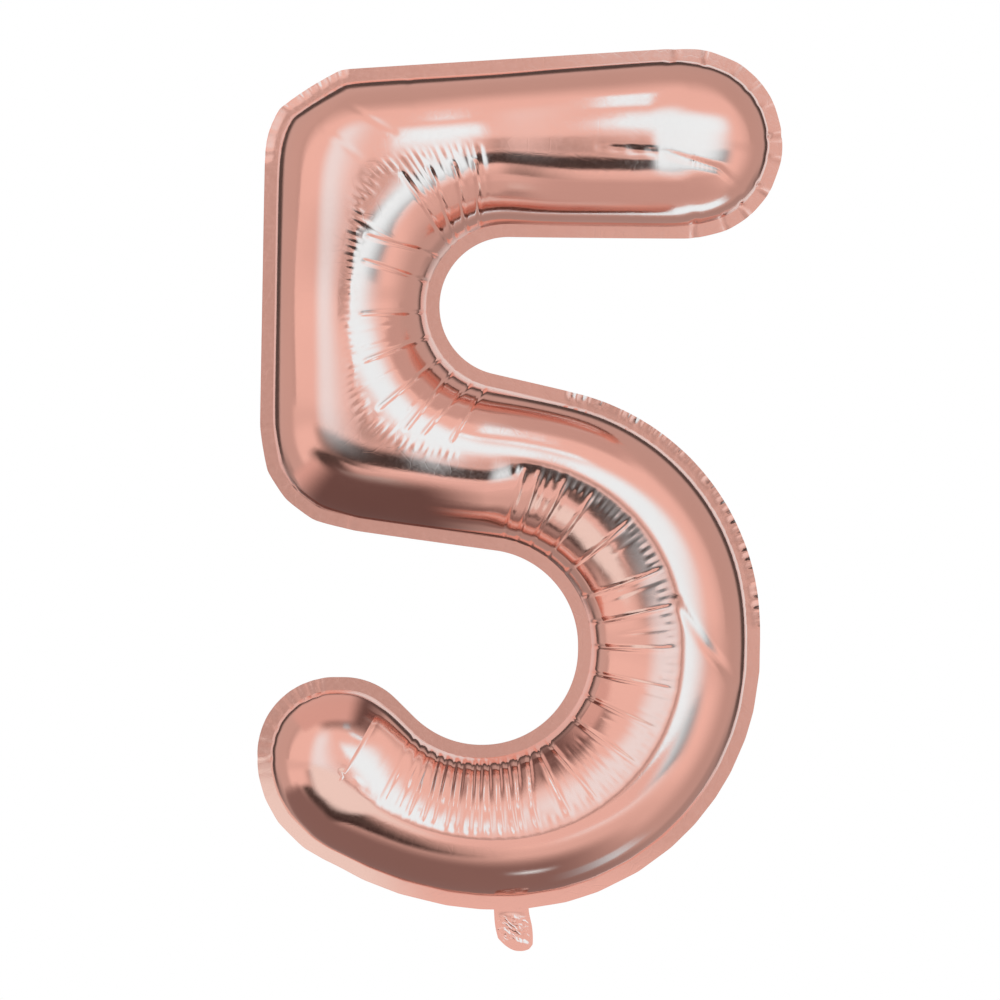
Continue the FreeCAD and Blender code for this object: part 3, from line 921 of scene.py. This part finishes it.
def studio():
    """The studio that the foil mirrors: pale floor, dark gap below the horizon, walls, backdrop and soft
    boxes. A view of the scene shows plain white behind the balloon, from any side."""
    world = bpy.data.worlds.new("studio")
    bpy.context.scene.world = world
    s = Shader(world)
    s.tree.nodes.clear()
    x, y, z = s.add("SeparateXYZ", Vector=s.add("TexCoord").outputs["Generated"]).outputs
    front = s.math("MULTIPLY", y, -1.0)
    degree = 180 / math.pi
    azimuth = s.math("MULTIPLY", s.math("ARCTAN2", x, front), degree)     # 0 in front, 90 to the right
    height = s.math("MULTIPLY", s.math("ARCSINE", z), degree)
    over = s.math("MULTIPLY", s.math("ARCTAN2", z, front), degree)        # 0 in front, 90 above
    level = s.towards(0.74, s.step(height, -62, -50), 0.82)               # the floor
    level = s.towards(level, s.step(height, -46, -30), 0.97)              # its far part, and the walls
    gap = s.both(s.band(height, -26.5, -9, 2), s.band(azimuth, -50, 50, 14))    # dark, below the horizon
    level = s.towards(level, gap, 0.30)
    core = s.both(s.band(height, -27, -11.5, 2), s.band(azimuth, -30, 42, 12))
    level = s.towards(level, core, 0.06)
    level = s.towards(level, s.band(height, -9, 0, 4), 0.85)              # foot of the front wall
    level = s.towards(level, s.step(over, 66, 95), 0.62)                  # ceiling
    right_wall = s.both(s.step(azimuth, 64, 106), s.band(height, -60, 60, 10))
    level = s.towards(level, right_wall, 0.60)
    left_wall = s.both(s.band(azimuth, -180, -96, 6), s.band(height, -60, 60, 10))
    level = s.towards(level, left_wall, 0.66)
    level = s.towards(level, s.step(y, 0.60, 0.72), 0.10)                 # dark behind the balloon
    level = s.towards(level, s.both(s.step(y, 0.45, 0.60), s.step(height, -5, -25)), 0.45)
    facing = s.both(s.band(azimuth, -6, 6, 2), s.band(height, -7, 7, 2))
    dimmed = s.math("MULTIPLY", facing, s.step(azimuth, -3, 3, 0.38, 0.14))
    level = s.math("MULTIPLY", level, s.math("SUBTRACT", 1.0, dimmed))    # something grey straight in front
    low_left = s.both(s.band(azimuth, -75, -12, 12), s.band(height, -50, -26, 3))
    level = s.towards(level, low_left, 0.08)                              # something dark on the floor
    fading = s.math("POWER", s.step(azimuth, 14, 68, 1.0, 0.0), 1.25)     # right side of the big soft box
    boxes = (s.both(s.band(azimuth, -40, -13, 12), s.band(height, -14, 46, 14), 0.55),
             s.both(s.step(azimuth, -1, 3), fading, s.band(height, 11, 30, 7)),
             s.both(s.step(azimuth, 4, 14), fading, s.band(height, -30, 30, 11)),
             s.both(s.band(over, -118, -100, 2), s.band(x, -0.5, 0.5, 0.1)))
    dark = 1.0
    for box in boxes:
        dark = s.math("MULTIPLY", dark, s.math("SUBTRACT", 1.0, box))
    tinted = s.add("VectorMath", {"operation": "SCALE"}, i0=ROOM_TINT, Scale=level).outputs[0]
    colour = s.add("Mix", {"data_type": "RGBA"}, i0=dark, i6=(*SOFT_BOX, 1), i7=tinted).outputs[2]
    seen = s.add("LightPath").outputs["Is Camera Ray"]
    lit = s.add("Background", Color=colour)
    plain = s.add("Background", Color=(1, 1, 1, 1))
    mixed = s.add("MixShader", i0=seen, i1=lit.outputs[0], i2=plain.outputs[0])
    out = s.add("OutputWorld")
    s.put(out.inputs["Surface"], mixed.outputs[0])


def card(name, centre, aim, width, height, colour, soft):
    """A card near the balloon that the foil mirrors and the camera doesn't see, with soft edges."""
    material = bpy.data.materials.new(name)
    s = Shader(material)
    s.tree.nodes.clear()
    u, v, _ = s.add("SeparateXYZ", Vector=s.add("TexCoord").outputs["Generated"]).outputs
    mask = s.both(s.band(u, soft, 1 - soft, soft), s.band(v, soft, 1 - soft, soft))
    glow = s.add("Emission", Color=(*colour, 1))
    clear = s.add("BsdfTransparent")
    mixed = s.add("MixShader", i0=mask, i1=clear.outputs[0], i2=glow.outputs[0])
    s.put(s.add("OutputMaterial").inputs["Surface"], mixed.outputs[0])
    mesh = bpy.data.meshes.new(name)
    half_w, half_h = width / 2, height / 2
    corners = [(-half_w, -half_h, 0), (half_w, -half_h, 0), (half_w, half_h, 0), (-half_w, half_h, 0)]
    mesh.from_pydata(corners, [], [[0, 1, 2, 3]])
    mesh.materials.append(material)
    piece = link(name, mesh)
    piece.location = centre
    piece.rotation_euler = (Vector(aim) - Vector(centre)).to_track_quat("Z", "Y").to_euler()
    piece.visible_camera = piece.visible_shadow = piece.visible_diffuse = False


def floor():
    """A plain pale floor under the balloon, lower than the photograph's view reaches. The foil doesn't
    mirror it: the world holds the floor that the foil mirrors."""
    material = bpy.data.materials.new("pale_floor")
    principled = Shader(material).tree.nodes["Principled BSDF"]
    principled.inputs["Base Color"].default_value = (0.85, 0.84, 0.83, 1)
    principled.inputs["Roughness"].default_value = 0.9
    mesh = bpy.data.meshes.new("pale_floor")
    corners = [(x, y, FLOOR_Z) for x, y in ((-2, -1.6), (2, -1.6), (2, 1.8), (-2, 1.8))]
    mesh.from_pydata(corners, [], [[0, 1, 2, 3]])
    mesh.materials.append(material)
    piece = link("pale_floor", mesh)
    piece.visible_glossy = False


def camera():
    """Straight at the front, from far enough for the photograph's flat view."""
    distance = 6.0
    data = bpy.data.cameras.new("camera")
    piece = link("camera", data)
    data.sensor_width = 36
    data.lens = data.sensor_width * distance / PICTURE_WIDTH
    piece.location = (PICTURE_CENTRE[0], -distance, PICTURE_CENTRE[1])
    piece.rotation_euler = (math.pi / 2, 0, 0)
    bpy.context.scene.camera = piece


# ------------------------ making

def main():
    camera()
    studio()
    floor()
    foil_look, bond_look, film_look, ink_look = (
        foil_material(), bond_material(), film_material(), ink_material())
    x = foil()
    (front, back), edge_points, edge_faces = make_panels(x, foil_look)
    edge = mesh_piece("seal_cut_edge", edge_points, edge_faces, bond_look)
    for piece, nodes in ((front, ["front_foil"]), (back, ["back_foil"]), (edge, ["heat_seal"])):
        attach(piece, "balloon")
        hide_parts(*nodes)

    rng = np.random.default_rng(21)
    leaves = [leaf("tail_leaf_front", FRONT_LIP, -1, rng, foil_look),
              leaf("tail_leaf_back", BACK_LIP, 1, rng, foil_look)]
    edges = [tail_edge("tail_edge_left", LEFT_EDGE, 1, -20.0, bond_look),
             tail_edge("tail_edge_right", RIGHT_EDGE, -1, -33.5, bond_look)]
    films = [valve_film("valve_film_front", -1, rng, film_look),
             valve_film("valve_film_back", 1, rng, film_look)]
    standing_for = (["tail_front_leaf"], ["tail_back_leaf"], ["tail_seal_left"], ["tail_seal_right"],
                    ["valve_front_film", "valve_mouth_front"], ["valve_back_film", "valve_mouth_back"])
    slots = ("foil", "foil", "seal_bond", "seal_bond", "valve_film", "valve_film")
    for piece, nodes, slot in zip(leaves + edges + films, standing_for, slots):
        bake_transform(piece)
        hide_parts(*nodes)
    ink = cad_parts["valve_release_ink"]
    ink.data.materials.clear()
    ink.data.materials.append(ink_look)

    for described in CARDS:
        card(*described)

    bpy.context.scene.view_settings.view_transform = "Standard"


main()
